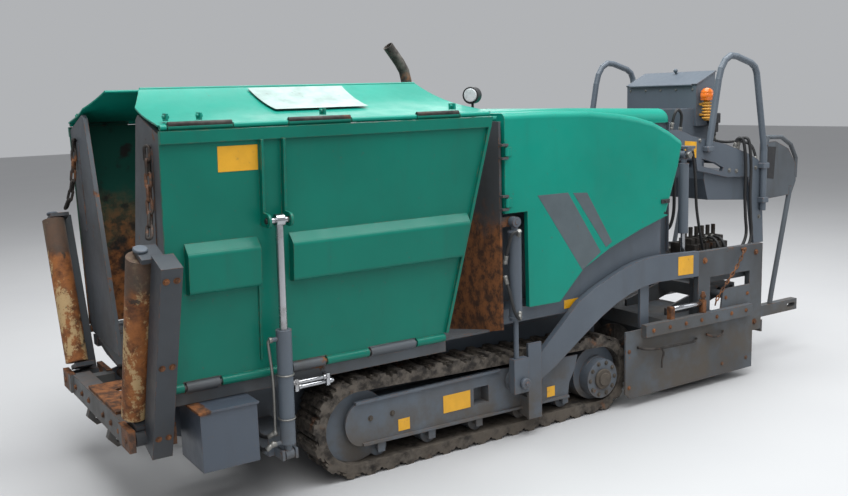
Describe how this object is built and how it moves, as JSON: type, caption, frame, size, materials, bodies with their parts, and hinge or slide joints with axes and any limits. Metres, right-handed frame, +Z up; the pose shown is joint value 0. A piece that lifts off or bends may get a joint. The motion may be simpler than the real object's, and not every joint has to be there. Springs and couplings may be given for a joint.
{
  "type": "asphalt paver",
  "caption": "Compact tracked asphalt paver with folding hopper wings, push rollers, bar conveyor, augers and a screed with sliding extensions, folded for transport.",
  "frame": {"origin": "on the ground under the middle of the machine", "axes": "+X forward to the hopper, +Y to the machine's left, +Z up"},
  "size_m": [4.192, 1.7508, 1.8973],
  "materials": {
    "green_paint": "worn gloss paint",
    "grey_paint": "worn satin paint",
    "dark_steel": "oily, stained with bitumen",
    "rusty_steel": "rusted",
    "track_steel": "dirty",
    "engine_iron": "painted, oily",
    "chrome_rod": "polished",
    "screed_steel": "worn satin paint with bitumen stains",
    "exhaust_steel": "heat stained"
  },
  "bodies": {
    "tractor": {"chassis": "grey_paint", "hopper_base": "grey_paint", "hopper_rear_wall": "grey_paint", "bar_conveyor": "dark_steel", "front_crossmember": "grey_paint", "hitch_plate": "rusty_steel", "tow_hooks": "rusty_steel", "tool_box": "grey_paint", "track_frame_left": "grey_paint", "track_frame_right": "grey_paint", "track_left": "track_steel", "track_right": "track_steel", "engine_block": "engine_iron", "engine_bay": "grey_paint", "hood": "green_paint", "rear_frame": "grey_paint", "console": "grey_paint", "handrails": "grey_paint", "exhaust": "exhaust_steel", "work_lamp": "dark_steel", "levelling_cylinders": "grey_paint", "auger_drive": "dark_steel"},
    "wing_left": {"wing_left": "green_paint", "wing_flange_left": "grey_paint"},
    "roof_flap_left": {"roof_flap_left": "green_paint"},
    "wing_barrel_left": {"wing_barrel_left": "grey_paint"},
    "wing_rod_left": {"wing_rod_left": "chrome_rod"},
    "push_arm_left": {"push_arm_left": "grey_paint"},
    "push_roller_left": {"push_roller_left": "rusty_steel"},
    "engine_cover_left": {"engine_cover_left": "green_paint"},
    "auger_left": {"auger_left": "dark_steel"},
    "wing_right": {"wing_right": "green_paint", "wing_flange_right": "grey_paint"},
    "roof_flap_right": {"roof_flap_right": "green_paint"},
    "wing_barrel_right": {"wing_barrel_right": "grey_paint"},
    "wing_rod_right": {"wing_rod_right": "chrome_rod"},
    "push_arm_right": {"push_arm_right": "grey_paint"},
    "push_roller_right": {"push_roller_right": "rusty_steel"},
    "engine_cover_right": {"engine_cover_right": "green_paint"},
    "auger_right": {"auger_right": "dark_steel"},
    "console_lid": {"console_lid": "grey_paint"},
    "screed": {"tow_arms": "grey_paint", "screed_body": "screed_steel", "walkway_frame": "screed_steel", "valve_block": "dark_steel"},
    "screed_extension_left": {"screed_extension_left": "screed_steel"},
    "lift_barrel_left": {"lift_barrel_left": "grey_paint"},
    "lift_rod_left": {"lift_rod_left": "chrome_rod"},
    "screed_extension_right": {"screed_extension_right": "screed_steel"},
    "lift_barrel_right": {"lift_barrel_right": "grey_paint"},
    "lift_rod_right": {"lift_rod_right": "chrome_rod"}
  },
  "joints": [
    {"name": "wing_fold_left", "type": "hinge", "parent": "tractor", "child": "wing_left", "pos_m": [1.286, 0.617, 0.551], "axis": [-1, 0, 0], "range_deg": [0, 70]},
    {"name": "flap_fold_left", "type": "hinge", "parent": "wing_left", "child": "roof_flap_left", "pos_m": [1.186, 0.68408, 1.53272], "axis": [-1, 0, 0], "range_deg": [0, 95]},
    {"name": "wing_cylinder_swing_left", "type": "hinge", "parent": "tractor", "child": "wing_barrel_left", "pos_m": [1.508, 0.692, 0.224], "axis": [-1, 0, 0], "range_deg": [0, 49.2]},
    {"name": "wing_cylinder_stroke_left", "type": "slide", "parent": "wing_barrel_left", "child": "wing_rod_left", "axis": [0, 0.0322, 0.9995], "range_m": [-0.249, 0]},
    {"name": "push_arm_fold_left", "type": "hinge", "parent": "tractor", "child": "push_arm_left", "pos_m": [1.986, 0.5, 0.355], "axis": [-1, 0, 0], "range_deg": [0, 69.7]},
    {"name": "push_roller_turn_left", "type": "hinge", "parent": "push_arm_left", "child": "push_roller_left", "pos_m": [2.04, 0.58632, 0.76129], "axis": [0, 0.3469, 0.9379], "continuous": true},
    {"name": "cover_door_left", "type": "hinge", "parent": "tractor", "child": "engine_cover_left", "pos_m": [0.368, 0.67, 1.25], "axis": [0, 0, -1], "range_deg": [0, 80]},
    {"name": "auger_turn_left", "type": "hinge", "parent": "tractor", "child": "auger_left", "pos_m": [-0.589, 0.3, 0.255], "axis": [0, 1, 0], "continuous": true},
    {"name": "wing_fold_right", "type": "hinge", "parent": "tractor", "child": "wing_right", "pos_m": [1.286, -0.617, 0.551], "axis": [1, 0, 0], "range_deg": [0, 70]},
    {"name": "flap_fold_right", "type": "hinge", "parent": "wing_right", "child": "roof_flap_right", "pos_m": [1.186, -0.68408, 1.53272], "axis": [1, 0, 0], "range_deg": [0, 95]},
    {"name": "wing_cylinder_swing_right", "type": "hinge", "parent": "tractor", "child": "wing_barrel_right", "pos_m": [1.508, -0.692, 0.224], "axis": [1, 0, 0], "range_deg": [0, 49.2]},
    {"name": "wing_cylinder_stroke_right", "type": "slide", "parent": "wing_barrel_right", "child": "wing_rod_right", "axis": [0, -0.0322, 0.9995], "range_m": [-0.249, 0]},
    {"name": "push_arm_fold_right", "type": "hinge", "parent": "tractor", "child": "push_arm_right", "pos_m": [1.986, -0.5, 0.355], "axis": [1, 0, 0], "range_deg": [0, 69.7]},
    {"name": "push_roller_turn_right", "type": "hinge", "parent": "push_arm_right", "child": "push_roller_right", "pos_m": [2.04, -0.58632, 0.76129], "axis": [0, -0.3469, 0.9379], "continuous": true},
    {"name": "cover_door_right", "type": "hinge", "parent": "tractor", "child": "engine_cover_right", "pos_m": [0.368, -0.67, 1.25], "axis": [0, 0, 1], "range_deg": [0, 80]},
    {"name": "auger_turn_right", "type": "hinge", "parent": "tractor", "child": "auger_right", "pos_m": [-0.589, -0.3, 0.255], "axis": [0, 1, 0], "continuous": true},
    {"name": "console_lid_hinge", "type": "hinge", "parent": "tractor", "child": "console_lid", "pos_m": [-1.31135, 0, 1.63436], "axis": [0, 1, 0], "range_deg": [0, 110]},
    {"name": "screed_lift", "type": "hinge", "parent": "tractor", "child": "screed", "pos_m": [0.304, 0, 0.281], "axis": [0, 1, 0], "range_deg": [-1.6, 4]},
    {"name": "extension_slide_left", "type": "slide", "parent": "screed", "child": "screed_extension_left", "axis": [0, 1, 0], "range_m": [0, 0.4]},
    {"name": "lift_cylinder_swing_left", "type": "hinge", "parent": "tractor", "child": "lift_barrel_left", "pos_m": [-0.904, 0.56, 1.27], "axis": [0, -1, 0], "range_deg": [-3, 6]},
    {"name": "lift_cylinder_stroke_left", "type": "slide", "parent": "lift_barrel_left", "child": "lift_rod_left", "axis": [0, 0, 1], "range_m": [-0.05, 0.1]},
    {"name": "extension_slide_right", "type": "slide", "parent": "screed", "child": "screed_extension_right", "axis": [0, -1, 0], "range_m": [0, 0.4]},
    {"name": "lift_cylinder_swing_right", "type": "hinge", "parent": "tractor", "child": "lift_barrel_right", "pos_m": [-0.904, -0.56, 1.27], "axis": [0, -1, 0], "range_deg": [-3, 6]},
    {"name": "lift_cylinder_stroke_right", "type": "slide", "parent": "lift_barrel_right", "child": "lift_rod_right", "axis": [0, 0, 1], "range_m": [-0.05, 0.1]}
  ],
  "couplings": [
    {"joint": "wing_cylinder_swing_left", "follows": "wing_fold_left", "ratio": 0.7007},
    {"joint": "wing_cylinder_stroke_left", "follows": "wing_fold_left", "m_per_rad": -0.2029},
    {"joint": "wing_cylinder_swing_right", "follows": "wing_fold_right", "ratio": 0.7007},
    {"joint": "wing_cylinder_stroke_right", "follows": "wing_fold_right", "m_per_rad": -0.2029},
    {"joint": "lift_cylinder_swing_left", "follows": "screed_lift", "ratio": 0.8654},
    {"joint": "lift_cylinder_stroke_left", "follows": "screed_lift", "m_per_rad": 1.1887},
    {"joint": "lift_cylinder_swing_right", "follows": "screed_lift", "ratio": 0.8654},
    {"joint": "lift_cylinder_stroke_right", "follows": "screed_lift", "m_per_rad": 1.1887}
  ]
}
